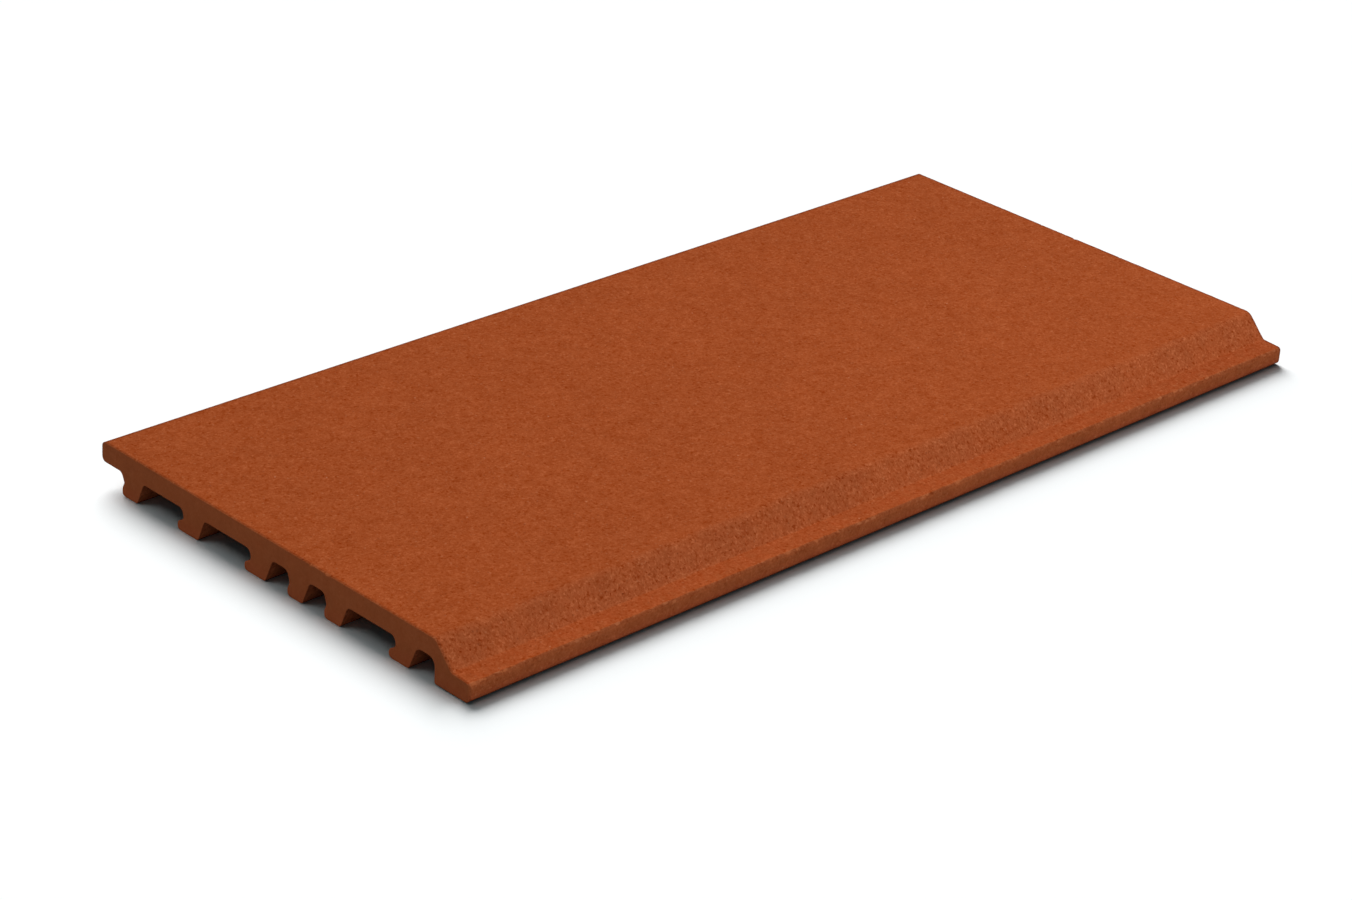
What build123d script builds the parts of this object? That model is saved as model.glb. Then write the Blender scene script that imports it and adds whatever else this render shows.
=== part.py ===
from build123d import *
from math import radians, tan
import os

# A terracotta facade panel, extruded and fired as one piece and sawn to length.
# X runs along the extrusion, +Y is the drip edge, -Y is the stepped lip and Z is up.
# The panel lies on its rib feet at Z = 0, with its weather face at Z = panel_depth.

# The whole panel
panel_length = 760
panel_width = 350
panel_depth = 30

# The face plate, which is a little thinner over the narrow channels
plate_thickness = 14
thin_plate_thickness = 13

# The drip edge, which hangs out past the first rib and over the panel below
drip_upper_round = 3.5
drip_lower_round = 3.5

# The lip, which slides up behind the drip edge of the panel above
lip_reach = 15.3
lip_height = 13.3
lip_fall = 0.8
lip_clearance = 0.6
lip_base_width = 30
lip_upper_round = 2.2
lip_lower_round = 2.8
lip_heel_round = 0.8

# The slope that sheds water from the face onto the lip
slope_run = 15
crease_round = 7
root_round = 1.5

# The feet of the ribs, from the drip edge to the lip
drip_rib_foot = 15.5
upper_hook_foot = 20.5
middle_hook_foot = 20
first_bead_foot = 14
second_bead_foot = 15
lower_hook_foot = 18

# Each rib's nose as a share of the width, counted from the drip edge
rib_place_shares = [0.060, 0.222, 0.412, 0.530, 0.629, 0.798]

# The hooks, which the clips of the wall brackets grip
hook_reach = 5.8
hook_nose_height = 5.8
hook_throat_height = 8.2
hook_nose_round = 1.5
hook_toe_round = 2

# The beads on the other ribs, which are small noses under a leaning wall
bead_reach = 2.1
bead_nose_height = 5.5
bead_throat_height = 9.4
bead_lean = 2.8
bead_nose_round = 2.2
bead_toe_round = 2.2

# Rounds that the ribs share
heel_round = 0.8
throat_round = 0.6
flank_round = 4
neck_round = 4.5
arch_round = 6

# A round takes at most this share of the stretch of wall or ceiling that it sits on
round_share = 0.58

# The side of each rib that faces the lip leans by this many degrees
flank_angle = 22

# Heights and places that follow from the sizes above
wide_ceiling = panel_depth - plate_thickness
narrow_ceiling = panel_depth - thin_plate_thickness
drip_y = panel_width / 2
lip_y = -panel_width / 2
slope_root_y = lip_y + lip_reach
crease_y = slope_root_y + slope_run
lip_wall_y = lip_y + lip_base_width


def fitted(wanted_round, stretch):
    """The wanted round, or the largest that its wall or ceiling has room for."""
    return min(wanted_round, stretch * round_share)


def hooked_nose(nose_y, ceiling):
    """The drip side of a hooked rib, from its toe up to the ceiling."""
    neck_y = nose_y - hook_reach
    return [
        (nose_y, 0, hook_toe_round),
        (nose_y, hook_nose_height, hook_nose_round),
        (neck_y, hook_throat_height, throat_round),
        (neck_y, ceiling, fitted(neck_round, ceiling - hook_throat_height)),
    ]


def beaded_nose(nose_y, ceiling):
    """The drip side of a beaded rib, from its toe up to the ceiling."""
    neck_y = nose_y - bead_reach
    return [
        (nose_y, 0, bead_toe_round),
        (nose_y, bead_nose_height, bead_nose_round),
        (neck_y, bead_throat_height, throat_round),
        (neck_y + bead_lean, ceiling, fitted(flank_round, ceiling - bead_throat_height)),
    ]


# Each rib's nose, foot, ceiling on its drip side, and ceiling and round on its lip side
ribs = [
    (beaded_nose, drip_rib_foot, wide_ceiling, wide_ceiling, flank_round),
    (hooked_nose, upper_hook_foot, wide_ceiling, wide_ceiling, flank_round),
    (hooked_nose, middle_hook_foot, wide_ceiling, narrow_ceiling, flank_round),
    (beaded_nose, first_bead_foot, narrow_ceiling, narrow_ceiling, flank_round),
    (beaded_nose, second_bead_foot, narrow_ceiling, wide_ceiling, flank_round),
    (hooked_nose, lower_hook_foot, wide_ceiling, narrow_ceiling, arch_round),
]

# The top of the section, from the drip edge over the face to the lip, as y, z and round
corners = [
    (drip_y, wide_ceiling, drip_lower_round),
    (drip_y, panel_depth, drip_upper_round),
    (crease_y, panel_depth, crease_round),
    (slope_root_y, lip_height + lip_fall, root_round),
    (lip_y, lip_height, lip_upper_round),
    (lip_y, lip_clearance, lip_lower_round),
    (lip_wall_y, lip_clearance, lip_heel_round),
    (lip_wall_y, narrow_ceiling, arch_round),
]

# The underside, rib by rib, from the lip back to the drip edge. The last corner so far is
# the far end of the ceiling that each rib's flank rises to, and the two rounds share its room.
for place, rib in reversed(list(zip(rib_place_shares, ribs))):
    nose, foot, drip_side_ceiling, lip_side_ceiling, lip_side_round = rib
    nose_y = drip_y - place * panel_width
    heel_y = nose_y - foot
    flank_top_y = heel_y - lip_side_ceiling * tan(radians(flank_angle))
    far_y, far_ceiling, far_round = corners.pop()
    room = flank_top_y - far_y
    corners.append((far_y, far_ceiling, fitted(far_round, room)))
    corners.append((flank_top_y, lip_side_ceiling, fitted(lip_side_round, room)))
    corners.append((heel_y, 0, heel_round))
    corners.extend(nose(nose_y, drip_side_ceiling))

with BuildPart() as facade_panel:
    with BuildSketch(Plane.YZ):
        with BuildLine():
            points = [(y, z) for y, z, corner_round in corners]
            rounds = [corner_round for y, z, corner_round in corners]
            FilletPolyline(points, radius=rounds, close=True)
        make_face()
    extrude(amount=panel_length / 2, both=True)

facade_panel.part.label = "facade_panel"

os.makedirs("parts", exist_ok=True)
export_step(facade_panel.part, "parts/facade_panel.step")
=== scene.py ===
# %% [markdown]
# # A terracotta facade panel
# The real panel is clay that was pushed through a die, sanded on its face, fired and sawn to length.
# The packed model holds its true size and place, and it stays as it is. This lesson makes the skin
# that is seen: an outline with soft rounds, a surface with the relief of clay, and worn arrises.

# %% Load the model as a fixed frame
import math

import bmesh
import bpy
import numpy as np
from mathutils import Matrix, Vector, noise


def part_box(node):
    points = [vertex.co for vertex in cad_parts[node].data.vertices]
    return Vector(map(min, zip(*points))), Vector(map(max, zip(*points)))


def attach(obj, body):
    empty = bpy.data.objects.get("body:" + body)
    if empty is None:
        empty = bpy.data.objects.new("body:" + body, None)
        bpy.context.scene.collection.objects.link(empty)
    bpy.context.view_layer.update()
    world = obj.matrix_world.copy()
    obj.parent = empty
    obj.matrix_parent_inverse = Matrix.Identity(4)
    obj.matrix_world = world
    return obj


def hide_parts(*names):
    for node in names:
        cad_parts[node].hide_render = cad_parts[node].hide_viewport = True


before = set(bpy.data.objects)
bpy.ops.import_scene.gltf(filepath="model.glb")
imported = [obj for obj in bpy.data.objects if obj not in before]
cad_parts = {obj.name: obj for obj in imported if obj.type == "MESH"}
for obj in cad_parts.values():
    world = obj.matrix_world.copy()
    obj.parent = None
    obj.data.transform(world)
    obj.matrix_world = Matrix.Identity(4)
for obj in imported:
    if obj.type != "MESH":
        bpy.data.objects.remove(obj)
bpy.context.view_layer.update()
millimetre = 0.001

# %% [markdown]
# ## The camera
# The picture was taken from the lip's side and from above, with a long lens and a slight roll.
# A camera can be aimed with a Track To constraint, but that leaves no roll. Here its three axes are
# worked out from two angles and the roll, and its place follows from where the panel's origin,
# the middle of the floor under it, lies in the picture.

# %% Work out the camera's axes
picture_width = 1352
picture_height = 900
sensor_width_mm = 36
focal_length_px = 3595.5
azimuth = math.radians(-45.918)
elevation = math.radians(26.34)
roll = math.radians(3.884)

looking = Vector((
    -math.sin(azimuth) * math.cos(elevation),
    math.cos(azimuth) * math.cos(elevation),
    -math.sin(elevation),
))
level_right = Vector((math.cos(azimuth), math.sin(azimuth), 0))
level_up = level_right.cross(looking)
camera_right = math.cos(roll) * level_right + math.sin(roll) * level_up
camera_up = math.cos(roll) * level_up - math.sin(roll) * level_right
print("The camera looks along", [round(part, 3) for part in looking])

# %% Place the camera
origin_depth = 2.4038
origin_px = (723.6, 420.5)
metres_per_px = origin_depth / focal_length_px
rightward = (origin_px[0] - picture_width / 2) * metres_per_px
upward = (picture_height / 2 - origin_px[1]) * metres_per_px

camera_data = bpy.data.cameras.new("camera")
camera_data.sensor_width = sensor_width_mm
camera_data.lens = focal_length_px * sensor_width_mm / picture_width
camera = bpy.data.objects.new("camera", camera_data)
camera_place = -rightward * camera_right - upward * camera_up - origin_depth * looking
turn = Matrix((camera_right, camera_up, -looking)).transposed()
camera.matrix_world = Matrix.Translation(camera_place) @ turn.to_4x4()
bpy.context.scene.collection.objects.link(camera)
bpy.context.scene.camera = camera
print("Lens", round(camera_data.lens, 1), "mm, camera at", [round(part, 3) for part in camera_place])

# %% [markdown]
# ## The section's outline
# Everything that came through the die has one section, so the panel is a closed outline swept along X.
# The outline could be typed again, but the model's flat sawn end already has it. In that end each inner
# edge belongs to two triangles, once in each direction, and the rim's edges belong to only one.

# %% Read the outline from the sawn end
low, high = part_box("facade_panel")
decimals = 6
flatness = 0.01 * millimetre


def section_outline(mesh, end_x):
    """The section's corners as rows of y and z, in order round the flat end at end_x."""
    sides = set()
    for face in mesh.polygons:
        corners = [mesh.vertices[index].co for index in face.vertices]
        if all(abs(corner.x - end_x) < flatness for corner in corners):
            keys = [(round(corner.y, decimals), round(corner.z, decimals)) for corner in corners]
            sides.update(zip(keys, keys[1:] + keys[:1]))
    following = {start: end for start, end in sides if (end, start) not in sides}
    outline = [max(following)]
    while following[outline[-1]] != outline[0]:
        outline.append(following[outline[-1]])
    return np.array(outline[::-1])


outline = section_outline(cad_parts["facade_panel"].data, low.x)
print("The outline has", len(outline), "corners")

# %% [markdown]
# ## Soft rounds
# The model's rounds are short straight steps. A finer outline with each point averaged with its
# neighbours turns them into curves. Averaging pulls a round inwards by a hair and leaves flat runs
# as they are, so the skin stays inside the model's box. Soft clay rounds the ribs' noses and toes
# most, because nobody works them over, so the averages reach further there.

# %% Smooth the outline
fine_spacing = 0.2 * millimetre
softening_reach = 0.5 * millimetre
rib_softening_reach = 1.05 * millimetre
bell_reaches = 4
ribs_top_z = 0.42 * high.z
ribs_end_y = 0.82 * low.y


def evenly_spaced(points, spacing):
    """Points at an even spacing along a closed outline."""
    closed = np.vstack([points, points[:1]])
    along = np.concatenate([[0], np.cumsum(np.linalg.norm(np.diff(closed, axis=0), axis=1))])
    places = np.linspace(0, along[-1], round(along[-1] / spacing), endpoint=False)
    return np.column_stack([np.interp(places, along, column) for column in closed.T])


def softened(values, reach):
    """Values round the fine outline, each averaged with its neighbours by a bell curve."""
    farthest = round(bell_reaches * reach / fine_spacing)
    steps = np.arange(-farthest, farthest + 1)
    weights = np.exp(-0.5 * (steps * fine_spacing / reach) ** 2)
    weights /= weights.sum()
    return sum(weight * np.roll(values, step, axis=0) for weight, step in zip(weights, steps))


even = evenly_spaced(outline, fine_spacing)
on_ribs = (even[:, 1] < ribs_top_z) & (even[:, 0] > ribs_end_y)
rib_share = softened(on_ribs.astype(float), 2 * softening_reach)[:, None]
fine = softened(even, softening_reach)
fine += rib_share * (softened(even, rib_softening_reach) - fine)
print("The fine outline has", len(fine), "points")

# %% [markdown]
# ## Which surface is which
# The real panel's face, slope and lip were finished differently, so the skin has to know them apart.
# They could be picked by hand from fixed coordinates, but those would be wrong as soon as the model's
# sizes change. Each is found by the way that the outline faces there and by its height.

# %% Find which way each stretch faces
tangents = np.roll(fine, -1, axis=0) - np.roll(fine, 1, axis=0)
tangents /= np.linalg.norm(tangents, axis=1)[:, None]
normals = np.column_stack([tangents[:, 1], -tangents[:, 0]])
turning = np.linalg.norm(np.roll(tangents, -1, axis=0) - tangents, axis=1) / fine_spacing
fine_y, fine_z = fine.T
facing_y, facing_z = normals.T
print("The tightest round has a radius of", round(1 / turning.max() / millimetre, 2), "mm")

# %% Find the face, the slope and the lip
depth = high.z - low.z
upper_facing = 0.3
upper_height = 0.4 * depth
slope_facing = (0.6, 0.8)
arris_allowance = 5 * millimetre

upper = (facing_z > upper_facing) & (fine_z > upper_height)
face = (fine_z > high.z - flatness) & upper
leaning = (facing_z > slope_facing[0]) & (facing_z < slope_facing[1]) & (facing_y < 0)
sloping = upper & leaning & (fine_y > low.y + arris_allowance)
crease_y = fine_y[face].min()
slope_low_y = fine_y[sloping].min()
on_lip = fine_y < slope_low_y
lip_edge_z = fine_z[upper & on_lip].min()
print("The face ends at y", round(crease_y, 4), "and the slope runs to", round(slope_low_y, 4))

# %% [markdown]
# ## Where the points go
# A round needs points every few degrees, a flat run needs few, and the face needs them close enough
# to carry relief. Subdivision would spend the same everywhere. So each place on the outline gets a
# wanted spacing, and points are dealt out evenly in those terms.

# %% Deal out the points
face_spacing = 2.1 * millimetre
lip_spacing = 1.1 * millimetre
under_spacing = 6.5 * millimetre
least_spacing = 0.45 * millimetre
most_turn = math.radians(14)
least_turning = 1
front_facing = -0.5

near_lip = (fine_y < crease_y) & (upper | (facing_y < front_facing) & on_lip)
spacing = np.where(upper, face_spacing, under_spacing)
spacing = np.where(near_lip, lip_spacing, spacing)
spacing = np.clip(most_turn / np.maximum(turning, least_turning), least_spacing, spacing)
dealt = np.concatenate([[0], np.cumsum(fine_spacing / softened(spacing, 2 * softening_reach))])
outline_count = round(dealt[-1])


def around(values, count):
    """Values of the fine outline at that many points dealt out round it."""
    places = np.interp(np.arange(count) * dealt[-1] / count, dealt, np.arange(len(dealt)))
    closed = np.concatenate([values, values[:1]])
    if closed.ndim == 1:
        return np.interp(places, np.arange(len(closed)), closed)
    return np.column_stack([np.interp(places, np.arange(len(closed)), column) for column in closed.T])


print("Each ring has", outline_count, "points")

# %% [markdown]
# ## The relief of the clay
# The die and the sanding leave the face faintly uneven, like orange peel. The slope isn't sanded and
# keeps a rougher skin, and the lip's front arris has lost small flakes. A Displace modifier would push
# points along blended normals. Moving each point inwards along its own normal keeps the box exact.

# %% Find the surfaces that the relief differs on
arris_reach = 1.6 * millimetre
arris_height = 0.25 * depth
on_slope = (fine_y < crease_y) & upper & (fine_y > slope_low_y)
is_slope = softened(on_slope.astype(float), softening_reach)
is_face = softened(face.astype(float), softening_reach)
outwardness = np.where(fine_z > arris_height, facing_z - facing_y, 0)
arris_index = np.argmax(outwardness * on_lip)
arris_distance = np.linalg.norm(fine - fine[arris_index], axis=1)
is_arris = np.exp(-((arris_distance / arris_reach) ** 2)) * on_lip
print("The lip's arris is at", fine[arris_index].round(4))

# %% Choose the flakes that the lip's arris has lost
random = np.random.default_rng(7)
flake_count = 46
flake_reach_mm = (1.2, 3.2)
flake_loss_mm = (0.1, 0.5)
flakes = [
    (
        random.uniform(low.x, high.x),
        random.uniform(*flake_reach_mm) * millimetre,
        random.uniform(*flake_loss_mm) * millimetre,
    )
    for _ in range(flake_count)
]


def flaked(x):
    """How much clay the lip's arris has lost at each x."""
    return sum(lost * np.exp(-(((x - middle) / reach) ** 2)) for middle, reach, lost in flakes)


deepest = max(lost for middle, reach, lost in flakes)
print(flake_count, "flakes, the deepest", round(deepest / millimetre, 2), "mm")

# %% Add the relief up
face_ripple = 0.045 * millimetre
face_swell = 0.06 * millimetre
slope_ripple = 0.14 * millimetre
arris_ripple = 0.06 * millimetre
under_ripple = 0.03 * millimetre
ripple_size = 3.2 * millimetre
swell_size = 14 * millimetre
streak_size = 2.2 * millimetre
streak_stretch = (1, 2.4, 2.4)
nibble_size = 5 * millimetre


def ripples(places, size, stretch=(1, 1, 1), shift=0):
    """Smooth noise from -1 to 1, with swellings of about that size. A shift picks another pattern."""
    scaled = places / (np.array(stretch) * size) + shift
    return np.array([noise.noise(Vector(place)) for place in scaled])


def clay_depth(places, face_share, slope_share, arris_share):
    """How far each place is moved inwards, in metres, from the share of each kind of surface there."""
    ripple = 1 + ripples(places, ripple_size)
    swell = 1 + ripples(places, swell_size, shift=20)
    streak = 1 + ripples(places, streak_size, stretch=streak_stretch, shift=50)
    nibble = 1 + ripples(places, nibble_size, shift=90)
    plain_share = 1 - face_share - slope_share
    depths = face_share * (face_ripple * ripple + face_swell * swell)
    depths += slope_share * (slope_ripple * streak + face_swell * swell)
    depths += plain_share * under_ripple * ripple
    depths += arris_share * (flaked(places[:, 0]) + arris_ripple * nibble)
    return np.maximum(depths, 0)


face_middle = np.array([[0, 0, high.z]])
middle_depth = clay_depth(face_middle, 1, 0, 0)[0]
print("The middle of the face lies", round(middle_depth / millimetre, 3), "mm lower")

# %% [markdown]
# ## The sweep
# Extruding the outline in one go would leave long bare quads that can't carry any relief. So rings
# of points stand a few millimetres apart along X, and each point is moved in by the clay's relief.

# %% Make the rings of the long surface
ring_spacing = 3.35 * millimetre
end_margin = 2.2 * millimetre
length = high.x - low.x
ring_count = round((length - 2 * end_margin) / ring_spacing) + 1
stations = np.linspace(low.x + end_margin, high.x - end_margin, ring_count)


def ring_places(count, x_values):
    """Rings of points at those x, moved in by the clay's relief, and the way inwards at each point."""
    rows = len(x_values)
    inward = -around(normals, count)
    inward /= np.linalg.norm(inward, axis=1)[:, None]
    inward = np.tile(inward, (rows, 1))
    places = np.column_stack([np.repeat(x_values, count), np.tile(around(fine, count), (rows, 1))])
    shares = [np.tile(around(share, count), rows) for share in (is_face, is_slope, is_arris)]
    places[:, 1:] += clay_depth(places, *shares)[:, None] * inward
    return places, inward


long_places, _ = ring_places(outline_count, stations)
print(ring_count, "rings,", len(long_places), "points")

# %% [markdown]
# ## The sawn ends
# A saw leaves a flat end with a sharp arris that wears to about a third of a millimetre, and here and
# there it tears out a bit of clay. A Bevel modifier would make every arris alike. Instead three finer
# rings, with three points for each one before them, make a quarter round whose width noise changes.

# %% Wear the arrises of the sawn ends
finer = 3
end_count = outline_count * finer
usual_wear = 0.3 * millimetre
unevenness = 0.5
break_wear = 2.6 * millimetre
small_break_size = 3 * millimetre
large_break_size = 11 * millimetre
large_break_share = 0.8
unbroken_level = 0.55
under_break_share = 0.25
wear_angles = [0, math.pi / 4, math.pi / 2]


def end_rings(end_x, side):
    """The rings of one worn arris, from the long surface to the flat end, and how worn each point is."""
    here, inward = ring_places(end_count, np.array([end_x]))
    small = ripples(here, small_break_size, shift=5 * side)
    large = ripples(here, large_break_size, shift=9 * side)
    breaks = np.maximum(small + large_break_share * large - unbroken_level, 0)
    on_top = around(upper.astype(float), end_count)
    break_share = under_break_share + (1 - under_break_share) * on_top
    wear = usual_wear * (1 + unevenness * small) + break_wear * breaks * break_share
    rings = []
    for angle in wear_angles:
        ring = here.copy()
        ring[:, 0] = end_x - side * wear * (1 - math.sin(angle))
        ring[:, 1:] += (wear * (1 - math.cos(angle)))[:, None] * inward
        rings.append(ring)
    return rings, wear


near_rings, near_wear = end_rings(low.x, -1)
far_rings, far_wear = end_rings(high.x, 1)
print("The near arris is at most", round(near_wear.max() / millimetre, 2), "mm wide")

# %% [markdown]
# ## One closed mesh
# Quads join neighbouring rings, triangles lead from the last even ring to the finer ones, and one face
# with many corners closes each end. Recalculate Outside could turn the faces the right way later, but
# it is safer to list every face's corners so that it looks outwards. The volume shows whether it does:
# a face that looks inwards counts against it.

# %% Make the faces between two rings
def strip(first, second, count):
    """Quads between two rings, from each ring's first point. The second ring lies farther along X."""
    near = np.arange(count)
    after = (near + 1) % count
    return [list(quad) for quad in zip(first + near, first + after, second + after, second + near)]


def fan(coarse, dense):
    """Triangles from a ring to one farther along X that has finer times as many points."""
    made = []
    half = (finer + 1) // 2
    for index in range(outline_count):
        start = coarse + index
        end = coarse + (index + 1) % outline_count
        rim = [dense + (index * finer + step) % end_count for step in range(finer + 1)]
        made += [[start, rim[step + 1], rim[step]] for step in range(half)]
        made += [[end, rim[step + 1], rim[step]] for step in range(half, finer)]
        made.append([start, end, rim[half]])
    return made


def turned_over(faces):
    """The same faces, looking the other way, for rings that follow each other against X."""
    return [face[::-1] for face in faces]


print("A step between rings takes", len(strip(0, outline_count, outline_count)), "quads")

# %% Join the rings into one closed mesh
rings = [long_places] + near_rings + far_rings
firsts = np.concatenate([[0], np.cumsum([len(ring) for ring in rings])])
near_firsts = firsts[1:1 + len(near_rings)]
far_firsts = firsts[1 + len(near_rings):-1]
last_long = (ring_count - 1) * outline_count
faces = []
for row in range(ring_count - 1):
    faces += strip(row * outline_count, (row + 1) * outline_count, outline_count)
for first, second in zip(near_firsts, near_firsts[1:]):
    faces += turned_over(strip(first, second, end_count))
for first, second in zip(far_firsts, far_firsts[1:]):
    faces += strip(first, second, end_count)
faces += turned_over(fan(0, near_firsts[0])) + fan(last_long, far_firsts[0])
near_cap = [near_firsts[-1] + index for index in range(end_count)]
far_cap = [far_firsts[-1] + index for index in range(end_count)]
faces += [near_cap[::-1], far_cap]
print(len(faces), "faces")

# %% Make the panel's mesh
quad_corners = 4
skin_mesh = bpy.data.meshes.new("facade_panel_clay")
skin_mesh.from_pydata(np.vstack(rings).tolist(), [], [[int(index) for index in face] for face in faces])
skin_mesh.validate()
is_smooth = [len(polygon.vertices) <= quad_corners for polygon in skin_mesh.polygons]
skin_mesh.polygons.foreach_set("use_smooth", is_smooth)
clay = bpy.data.objects.new("facade_panel_clay", skin_mesh)
bpy.context.scene.collection.objects.link(clay)
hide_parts("facade_panel")
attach(clay, "root")
skin_mesh.calc_loop_triangles()
measured = bmesh.new()
measured.from_mesh(skin_mesh)
litres = measured.calc_volume(signed=True) * 1000
measured.free()
print(len(skin_mesh.loop_triangles), "triangles round", round(litres, 2), "litres")

# %% Write down where the clay is broken
full_loss = 0.3 * millimetre
full_wear = 1 * millimetre
long_loss = np.tile(around(is_arris, outline_count), ring_count) * flaked(long_places[:, 0])
near_loss = [near_wear / full_wear] * len(near_rings)
far_loss = [far_wear / full_wear] * len(far_rings)
broken = np.clip(np.concatenate([long_loss / full_loss] + near_loss + far_loss), 0, 1)
worn = skin_mesh.attributes.new("broken_clay", "FLOAT", "POINT")
worn.data.foreach_set("value", broken.astype(np.float32))
print("Broken clay shows at", np.count_nonzero(broken > 0.5), "points")

# %% [markdown]
# ## Shader sums
# Fired clay has no pattern to unwrap, so every mark on it is worked out from its place in the block.
# Masks are sums of numbers, and wiring each Math node by hand hides them. A small class holds one
# socket and adds the Math node for each sign, and one method makes every other node.

# %% Let sockets be added and multiplied
class Number:
    """A shader socket that holds a number, for use in sums."""

    def __init__(self, finish, socket):
        self.finish = finish
        self.socket = socket

    def __add__(self, other):
        return self.finish.sum("ADD", self, other)

    def __sub__(self, other):
        return self.finish.sum("SUBTRACT", self, other)

    def __rsub__(self, other):
        return self.finish.sum("SUBTRACT", other, self)

    def __mul__(self, other):
        return self.finish.sum("MULTIPLY", self, other)

    def __abs__(self):
        return self.finish.sum("ABSOLUTE", self, 0)

    __radd__ = __add__
    __rmul__ = __mul__


print("A number answers to", [name.strip("_") for name, part in vars(Number).items() if callable(part)])

# %% Make every other node in one way
class Finish:
    """The nodes of a material or a world, and the one way in which they are made."""

    def __init__(self, owner):
        self.owner = owner
        owner.use_nodes = True
        self.tree = owner.node_tree
        self.tree.nodes.clear()

    def node(self, kind, settings, sockets):
        """A node of that kind, with its settings made first, and then its sockets filled or linked."""
        made = self.tree.nodes.new(kind)
        for name, value in settings.items():
            setattr(made, name, value)
        for name, value in sockets.items():
            if isinstance(value, Number):
                value = value.socket
            if isinstance(value, bpy.types.NodeSocket):
                self.tree.links.new(value, made.inputs[name])
            else:
                made.inputs[name].default_value = value
        return made

    def sum(self, operation, first, second):
        """One Math node as a number."""
        made = self.node("ShaderNodeMath", {"operation": operation}, {0: first, 1: second})
        return Number(self, made.outputs[0])


clay_finish = Finish(bpy.data.materials.new("terracotta_clay"))
clay_nodes = clay_finish.tree.nodes
print("The material", clay_finish.owner.name, "starts with", len(clay_nodes), "nodes")

# %% [markdown]
# ## Places and grains in the clay
# The panel's own coordinates are metres from its origin, so a grain size is a length and not a guess.
# Noise gives clouds and grain, and cells with a random number each give single pits and specks.

# %% Measure places on the panel
coordinates = clay_finish.node("ShaderNodeTexCoord", {}, {}).outputs["Object"]
axes = clay_finish.node("ShaderNodeSeparateXYZ", {}, {"Vector": coordinates})
place_x, place_y, place_z = (Number(clay_finish, axes.outputs[axis]) for axis in "XYZ")


def vector_math(operation, first, second):
    """One Vector Math node, for places or colours."""
    second_socket = "Scale" if operation == "SCALE" else 1
    sockets = {0: first, second_socket: second}
    return clay_finish.node("ShaderNodeVectorMath", {"operation": operation}, sockets).outputs[0]


def stretched(stretch):
    """The panel's coordinates, with patterns drawn out by those shares along X, Y and Z."""
    return vector_math("MULTIPLY", coordinates, [1 / share for share in stretch])


print("The clay has", len(clay_nodes), "nodes so far")

# %% Grow noise and soft steps
def grain(size, detail=2, rough=0.55, stretch=(1, 1, 1), shift=0):
    """Noise from about -1 to 1, with spots of that size in metres. A shift picks another pattern."""
    moved = vector_math("ADD", stretched(stretch), [shift * size] * 3)
    sockets = {"Vector": moved, "Scale": 1 / size, "Detail": detail, "Roughness": rough}
    made = clay_finish.node("ShaderNodeTexNoise", {"noise_dimensions": "3D"}, sockets)
    return (Number(clay_finish, made.outputs[0]) - 0.5) * 2


def rising(number, start, end):
    """A smooth step from 0 at start to 1 at end."""
    settings = {"interpolation_type": "SMOOTHSTEP"}
    sockets = {"Value": number, "From Min": start, "From Max": end}
    made = clay_finish.node("ShaderNodeMapRange", settings, sockets)
    return Number(clay_finish, made.outputs["Result"])


print("Grain of 2 mm has a scale of", 1 / (2 * millimetre))

# %% Scatter single pits and specks
surest_share = 0.8
spot_core = 0.4


def spots(size, share, radius, stretch=(1, 1, 1)):
    """Round spots in that share of the cells of that size, with their radius as a share of a cell."""
    sockets = {"Vector": stretched(stretch), "Scale": 1 / size, "Randomness": 1}
    cells = clay_finish.node("ShaderNodeTexVoronoi", {"feature": "F1"}, sockets)
    lots = clay_finish.node("ShaderNodeSeparateColor", {}, {"Color": cells.outputs["Color"]})
    chosen = rising(Number(clay_finish, lots.outputs[0]), 1 - share, 1 - surest_share * share)
    distance = Number(clay_finish, cells.outputs["Distance"])
    return chosen * (1 - rising(distance, spot_core * radius, radius))


pits = spots(3.4 * millimetre, 0.35, 0.26)
specks = spots(4.2 * millimetre, 0.35, 0.24)
grit = spots(12 * millimetre, 0.3, 0.07)
chips = spots(5.5 * millimetre, 0.55, 0.42, stretch=(1.4, 1, 1))
print("The clay has", len(clay_nodes), "nodes so far")

# %% Draw short winding threads
thread_width = 0.30
thread_end = 0.35
gap_share = 0.8


def curls(size, shift):
    """Lines where smooth noise crosses zero, broken into short curls, from 0 beside them to 1 on them."""
    line = 1 - rising(abs(grain(size, detail=1, shift=shift)), 0.0, thread_width)
    return line * rising(grain(gap_share * size, detail=1, shift=shift + 31), 0.0, thread_end)


pale_curls = curls(2.6 * millimetre, 2)
dark_curls = curls(2.9 * millimetre, 13)
print("The clay has", len(clay_nodes), "nodes so far")

# %% [markdown]
# ## Masks for the panel's surfaces
# One clay covers the whole panel, but the slope, the lip's front and the sawn ends were treated
# differently, and the underside and the rims get painted shade. Vertex groups could mark them, but
# their borders would follow the points. Each mask here is a smooth step in the panel's own
# coordinates, with its border shaken by noise.

# %% Mark the sawn ends and the rims' painted shade
border = grain(7 * millimetre, detail=4)
saw_depth = 0.12 * millimetre
saw_blur = 0.1 * millimetre
low_shake = 2 * millimetre
low_from = 13 * millimetre
low_to = 3 * millimetre
end_shading_band = (2.4 * millimetre, 1.2 * millimetre)
drip_shading_band = (5.2 * millimetre, 3 * millimetre)

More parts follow.
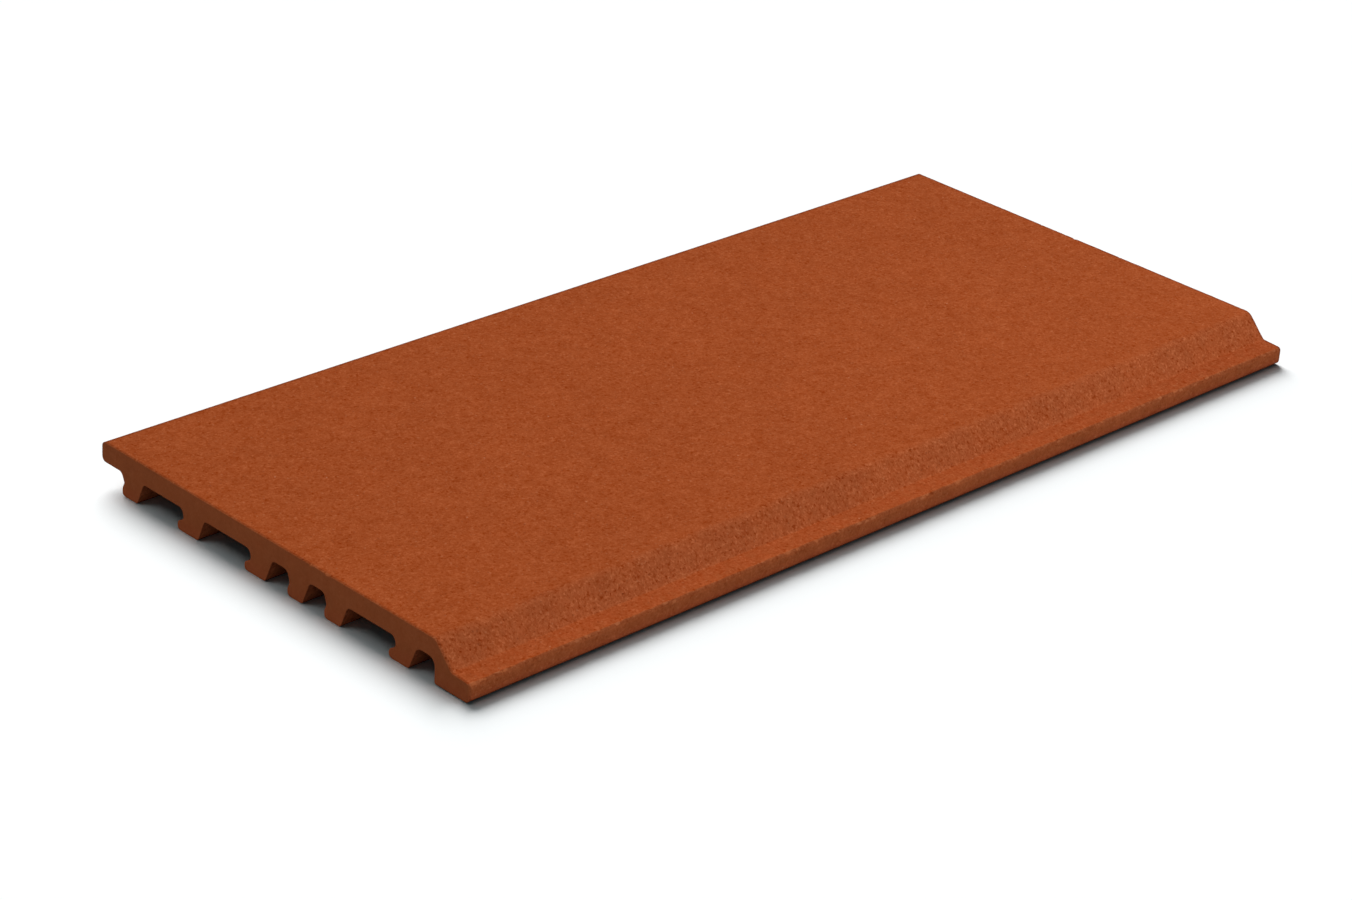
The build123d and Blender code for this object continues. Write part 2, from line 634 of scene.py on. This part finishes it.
end_reach = place_x * place_x
sawn_edge = high.x - saw_depth
sawn_mask = rising(end_reach, (sawn_edge - saw_blur) ** 2, sawn_edge ** 2)
fired_mask = 1 - sawn_mask
low_mask = rising(place_z + low_shake * border, low_from, low_to)
# The rims of the sawn ends and of the drip edge are rounds that turn away from the light; their darker
# tone is painted shade.
rim_shading_mask = rising(end_reach, (high.x - end_shading_band[0]) ** 2, (high.x - end_shading_band[1]) ** 2)
rim_shading_mask = rim_shading_mask + rising(place_y, high.y - drip_shading_band[0], high.y - drip_shading_band[1]) * (1 - rim_shading_mask)
rim_shading_mask = rim_shading_mask * fired_mask
print("The sawn ends begin", round(saw_depth / millimetre, 2), "mm from the ends of the panel")

# %% Mark the slope
slope_shake = 1.5 * millimetre
slope_top = (crease_y + 1.6 * millimetre, crease_y - 3.4 * millimetre)
slope_foot = (slope_low_y - 1.2 * millimetre, slope_low_y + 0.4 * millimetre)
slope_rise = 0.8 * millimetre
patch_contrast = 0.35

slope_mask = rising(place_y + slope_shake * border, *slope_top)
slope_mask = slope_mask * rising(place_y, *slope_foot)
slope_mask = slope_mask * rising(place_z, lip_edge_z, lip_edge_z + slope_rise) * fired_mask
patchy = rising(grain(32 * millimetre, detail=2, shift=51), -patch_contrast, patch_contrast)
print("The slope's mask is full from y", round(slope_foot[1], 4), "to", round(slope_top[1], 4))

# %% Mark the lip and its front
front_shake = 1.4 * millimetre
front_edge = fine[arris_index].sum() - 0.2 * millimetre
front_from = front_edge + 1.7 * millimetre
front_to = front_edge + 0.8 * millimetre
front_low_shake = 0.8 * millimetre
front_low = (0.65 * lip_edge_z, 0.25 * lip_edge_z)
arris_half_width = (2.4 * millimetre, 0.8 * millimetre)
lip_shake = 0.5 * millimetre
lip_from = slope_low_y + 0.3 * millimetre
lip_to = slope_low_y - 1 * millimetre

up_the_front = place_y + place_z + front_shake * border
front_mask = rising(up_the_front, front_from, front_to) * fired_mask
front_low_mask = rising(place_z + front_low_shake * border, *front_low)
arris_band = rising(abs(place_y + place_z - front_edge), *arris_half_width)
lip_mask = rising(place_y + lip_shake * border, lip_from, lip_to)
lip_mask = lip_mask * (1 - front_mask) * fired_mask
attribute = clay_finish.node("ShaderNodeAttribute", {"attribute_name": "broken_clay"}, {})
broken_mask = Number(clay_finish, attribute.outputs["Fac"])
print("The front's mask ends where y and z add up to", round(front_to, 4))

# %% Mark the underside's painted shade
ceiling_z = 0.6 * depth
ceiling_blur = 1.5 * millimetre
# Below the ceiling's height the underside and the channels get a duller copy of the clay's colour, as
# painted shade.
underside_shade_mask = rising(place_z, ceiling_z, ceiling_z - ceiling_blur) * fired_mask
underside_shade_mask = underside_shade_mask * (1 - front_mask) * (1 - lip_mask) * (1 - slope_mask)
print("The underside lies below", round(ceiling_z / millimetre), "mm")

# %% [markdown]
# ## The clay's colour
# The clay is one warm orange red, a little duller where it wasn't sanded and where it was sawn. Clouds
# a few centimetres across, mottles and fine grain change its tone by a few percent each. Scaling the
# colour could make the grains too, but the grains are paler and greyer than the clay. So a grain colour
# is added or taken away with Vector Math, partly for the clay's own grain and partly as painted light
# and shade on the fine relief. Pits are painted darker, as shade, and freshly broken clay is paler.
# The rims, the lip's arris and far end and the underside carry painted shade, and the lip's top
# carries painted light.

# %% Choose the colours
face_colour = (0.363, 0.0702, 0.0155, 1)
slope_colour = (0.350, 0.0762, 0.0219, 1)
# The lip's top is painted a little lighter than the face, as painted light that makes up for the shade of
# the slope above it.
painted_light_lip_colour = (0.376, 0.0725, 0.0172, 1)
front_colour = (0.347, 0.0812, 0.0248, 1)
front_low_colour = (0.354, 0.0756, 0.0250, 1)
underside_shade_colour = (0.355, 0.0830, 0.0290, 1)
sawn_colour = (0.334, 0.0838, 0.0272, 1)
sawn_low_colour = (0.364, 0.0850, 0.0290, 1)
broken_colour = (0.46, 0.125, 0.042, 1)
pit_shade_colour = (0.10, 0.022, 0.008, 1)
speck_colour = (0.50, 0.17, 0.075, 1)
grit_colour = (0.60, 0.25, 0.13, 1)
nick_colour = (0.44, 0.132, 0.051, 1)
# This grain colour serves both the clay's own grain and painted light and shade on the relief.
grain_and_relief_light_colour = (1.0, 0.405, 0.188)
ochre_shift = (-0.003, 0.003, 0.0015)
print("In the face's colour, green is", round(face_colour[1] / face_colour[0], 2), "of red")

# %% Grow the grain at five sizes
clouds = grain(75 * millimetre, detail=1)
patches = grain(28 * millimetre, detail=2, shift=11)
mottles = grain(11 * millimetre, detail=2, shift=3)
peel = grain(4.6 * millimetre, detail=2, shift=7)
sand = grain(1.7 * millimetre, detail=3, rough=0.65)
streaks = grain(1.3 * millimetre, detail=2, rough=0.6, stretch=(1, 1.8, 1.8), shift=5)
ochre = grain(6 * millimetre, detail=3, shift=23) * (1 + slope_mask + 2 * lip_mask)
print("The clay has", len(clay_nodes), "nodes so far")

# %% Add up the tone
front_blotches = grain(9 * millimetre, detail=3, shift=41)
sawn_blotches = grain(13 * millimetre, detail=3, shift=61)
painted_rim_darkening = 0.26
painted_lip_end_darkening = 0.12
painted_arris_darkening = 0.22
slope_lift = 0.025
far_lip = rising(place_x, 0.2 * low.x, 0.9 * high.x)

tone = 1 + 0.05 * clouds + 0.05 * patches + 0.04 * mottles
# The rims are darkened as painted shade.
tone = (tone + 0.16 * front_mask * front_blotches) * (1 - painted_rim_darkening * rim_shading_mask)
# The lip is darkened towards its far end as painted shade.
tone = tone * (1 - painted_lip_end_darkening * lip_mask * far_lip)
# Along the arris the top of the lip's front, a round that catches light, is darkened as painted shade.
tone = tone * (1 - painted_arris_darkening * arris_band * front_mask)
tone = tone * (1 + slope_mask * (slope_lift - 0.04 * patchy))
tone = tone + 0.07 * sawn_mask * sawn_blotches
print("The rims are", round(100 * painted_rim_darkening), "percent darker than the face")

# %% Add up the grain, partly painted light and shade
sawn_smoothing = 0.7
front_smoothing = 0.15
smooth_share = (1 - sawn_smoothing * sawn_mask) * (1 - front_smoothing * front_mask)
# On the slope the streaks and the pale and dark threads also rise and sink in the bump, so their colour
# is partly painted light and shade of the rough relief.
rougher = 0.05 * streaks + 0.03 * pale_curls - 0.025 * dark_curls
saw_marks = grain(5 * millimetre, detail=3, stretch=(1, 1, 2.5), shift=17)
# Where the bump rises the colour is paler and where it sinks darker: partly the clay's own grain and
# partly painted light and shade of the fine relief.
grain_and_relief_light = 0.10 * sand + 0.06 * peel + 0.024 * mottles + 0.07 * pale_curls - 0.06 * dark_curls
grain_and_relief_light = grain_and_relief_light * smooth_share + slope_mask * rougher + 0.03 * sawn_mask * saw_marks
print("The clay has", len(clay_nodes), "nodes so far")

# %% Lay the surfaces' colours over each other
def mixed(factor, first, second):
    """Two colours, or links to them, mixed by a number."""
    sockets = {0: factor, 6: first, 7: second}
    return clay_finish.node("ShaderNodeMix", {"data_type": "RGBA"}, sockets).outputs[2]


slope_cover = 0.75 + 0.4 * patchy
colour = mixed(slope_mask * slope_cover, face_colour, slope_colour)
colour = mixed(underside_shade_mask, colour, underside_shade_colour)
colour = mixed(lip_mask, colour, painted_light_lip_colour)
colour = mixed(front_mask, colour, mixed(front_low_mask, front_colour, front_low_colour))
colour = mixed(sawn_mask, colour, mixed(low_mask, sawn_colour, sawn_low_colour))
colour = vector_math("SCALE", colour, tone)
colour = vector_math("ADD", colour, vector_math("SCALE", grain_and_relief_light_colour, grain_and_relief_light))
colour = vector_math("ADD", colour, vector_math("SCALE", ochre_shift, ochre))
print("The clay has", len(clay_nodes), "nodes so far")

# %% [markdown]
# ## Marks in the clay
# Grog, the crushed fired clay in the mix, shows as pale grit and specks, and it leaves pits where it
# fell out. Broken clay is paler than the fired skin. It could be given a material of its own, but
# then its border would follow the faces, so the mesh's attribute only says how broken each point is.

# %% Add the pits, the specks and the broken clay
pit_shade_strength = 0.25
speck_strength = 0.35
mark_strength = 0.6
raggedness = 0.9
chip_level = (0.55, 1.1)
nick_level = (0.3, 0.7)
front_nick_share = 0.3
chipped = rising(broken_mask + raggedness * sand, *chip_level) * fired_mask
nicked = chips * (arris_band + front_nick_share * front_mask * (1 - arris_band)) * fired_mask
nicked = rising(nicked * (1 + raggedness * sand), *nick_level)

# The pits' dark colour is painted shade inside them.
colour = mixed(pit_shade_strength * pits * smooth_share, colour, pit_shade_colour)
colour = mixed(speck_strength * specks * smooth_share, colour, speck_colour)
colour = mixed(mark_strength * chipped, colour, broken_colour)
colour = mixed(mark_strength * nicked, colour, nick_colour)
colour = mixed(mark_strength * grit * smooth_share, colour, grit_colour)
print("The clay has", len(clay_nodes), "nodes so far")

# %% [markdown]
# ## The finest relief
# Anything under about two millimetres is bump: sand grain, pits and the streaks of the slope. In the
# mesh it would take millions of points. Heights are in millimetres, and the Bump node's distance
# turns them into metres.

# %% Make the bump and the shader
matt_reflection = 0.05
rougher_height = 0.065 * streaks + 0.03 * pale_curls - 0.03 * dark_curls
height = 0.06 * sand + 0.05 * peel - 0.06 * pits + 0.03 * specks + 0.04 * pale_curls
height = height * smooth_share + slope_mask * rougher_height
bump = clay_finish.node(
    "ShaderNodeBump", {}, {"Height": height, "Distance": millimetre, "Strength": 1}
)
roughness = 0.86 + 0.04 * mottles + 0.05 * slope_mask
shader_sockets = {
    "Base Color": colour,
    "Roughness": roughness,
    "Specular IOR Level": matt_reflection,
    "Normal": bump.outputs["Normal"],
}
shader = clay_finish.node("ShaderNodeBsdfPrincipled", {}, shader_sockets)
clay_finish.node("ShaderNodeOutputMaterial", {}, {"Surface": shader.outputs[0]})
clay.data.materials.append(clay_finish.owner)
print("The clay has", len(clay_nodes), "nodes in all")

# %% [markdown]
# ## The floor
# The picture's floor is plain white paper that keeps only the shadow. A floor that bright would also
# light the panel from below, so Light Path gives camera rays the white and all other rays a grey.

# %% Lay the floor
floor_half = 12
floor_drop = 0.05 * millimetre
floor_z = low.z - floor_drop
floor_signs = [(-1, -1), (1, -1), (1, 1), (-1, 1)]
floor_corners = [(x * floor_half, y * floor_half, floor_z) for x, y in floor_signs]
floor_mesh = bpy.data.meshes.new("floor")
floor_mesh.from_pydata(floor_corners, [], [(0, 1, 2, 3)])
floor = bpy.data.objects.new("floor", floor_mesh)
bpy.context.scene.collection.objects.link(floor)
print("The floor is", 2 * floor_half, "m wide")

# %% Make the floor white to the camera only
def seen_white(finish, unseen_colour):
    """White for the rays that show a surface, and another colour for those that light other things."""
    path = finish.node("ShaderNodeLightPath", {}, {})
    rays = ("Is Camera Ray", "Is Glossy Ray", "Is Transmission Ray")
    seen = sum(Number(finish, path.outputs[ray]) for ray in rays)
    sockets = {0: seen, 6: unseen_colour, 7: (1, 1, 1, 1)}
    return finish.node("ShaderNodeMix", {"data_type": "RGBA"}, sockets).outputs[2]


floor_finish = Finish(bpy.data.materials.new("floor_paper"))
bounce_grey = (0.22, 0.22, 0.22, 1)
matt = floor_finish.node("ShaderNodeBsdfDiffuse", {}, {"Color": seen_white(floor_finish, bounce_grey)})
floor_finish.node("ShaderNodeOutputMaterial", {}, {"Surface": matt.outputs[0]})
floor.data.materials.append(floor_finish.owner)
print("The floor throws", bounce_grey[0], "of its light back onto the panel")

# %% [markdown]
# ## The light
# The panel lies in the even light of a white tent, which a very wide sun lamp gives, and a near lamp
# on its right brightens the end of the lip. Three narrower lamps light the paper. The strongest
# stands behind, so that the shadow falls towards the camera, one is higher, and one opens up the
# shadow in the mouths of the channels. One lamp for both would leave the paper grey or the clay
# too pale, so light linking lets each lamp light only its own surface.

# %% Hang the lamps
def hang(name, lamp_data, lit):
    """A lamp object in the scene that lights only one object."""
    lamp = bpy.data.objects.new(name, lamp_data)
    bpy.context.scene.collection.objects.link(lamp)
    receivers = bpy.data.collections.new(name + "_lights")
    receivers.objects.link(lit)
    lamp.light_linking.receiver_collection = receivers
    return lamp


def hang_sun(name, strength, width_deg, azimuth_deg, elevation_deg, lit):
    """A sun lamp from that azimuth, counted from +Y towards +X."""
    sun_data = bpy.data.lights.new(name, "SUN")
    sun_data.energy = strength
    sun_data.angle = math.radians(width_deg)
    around_z = math.radians(azimuth_deg)
    above = math.radians(elevation_deg)
    towards = Vector((
        math.sin(around_z) * math.cos(above), math.cos(around_z) * math.cos(above), math.sin(above)
    ))
    hang(name, sun_data, lit).rotation_euler = towards.to_track_quat("Z", "Y").to_euler()


hang_sun("tent", 2.31, 150, 160, 80, clay)
hang_sun("back_lamp", 4.27, 41, 24.5, 39, floor)
hang_sun("top_lamp", 0.2, 22, 24, 65, floor)
hang_sun("end_lamp", 0.28, 34, -63, 66, floor)

# %% Hang one near lamp
side_watts = 8
side_width = 0.8
side_place = Vector((0.9, -1.0, 1.2))
side_data = bpy.data.lights.new("side_lamp", "AREA")
side_data.energy = side_watts
side_data.size = side_width
side_lamp = hang("side_lamp", side_data, clay)
side_lamp.location = side_place
side_lamp.rotation_euler = side_place.to_track_quat("Z", "Y").to_euler()
print("The near lamp hangs", round(side_place.length, 2), "m away")

# %% [markdown]
# ## The tent's walls
# In a real tent the walls throw a little light into every corner. A World background does that, and
# it is slightly blue green, because the warm light that the clay throws on the paper has to be
# balanced. The camera sees white in its place.

# %% Fill in with a weak world
world_finish = Finish(bpy.data.worlds.new("tent_walls"))
fill_colour = (0.014, 0.045, 0.050, 1)
walls = world_finish.node("ShaderNodeBackground", {}, {"Color": seen_white(world_finish, fill_colour)})
world_finish.node("ShaderNodeOutputWorld", {}, {"Surface": walls.outputs[0]})
bpy.context.scene.world = world_finish.owner
bpy.context.scene.view_settings.view_transform = "Standard"
print("The world fills the shadows with", fill_colour)
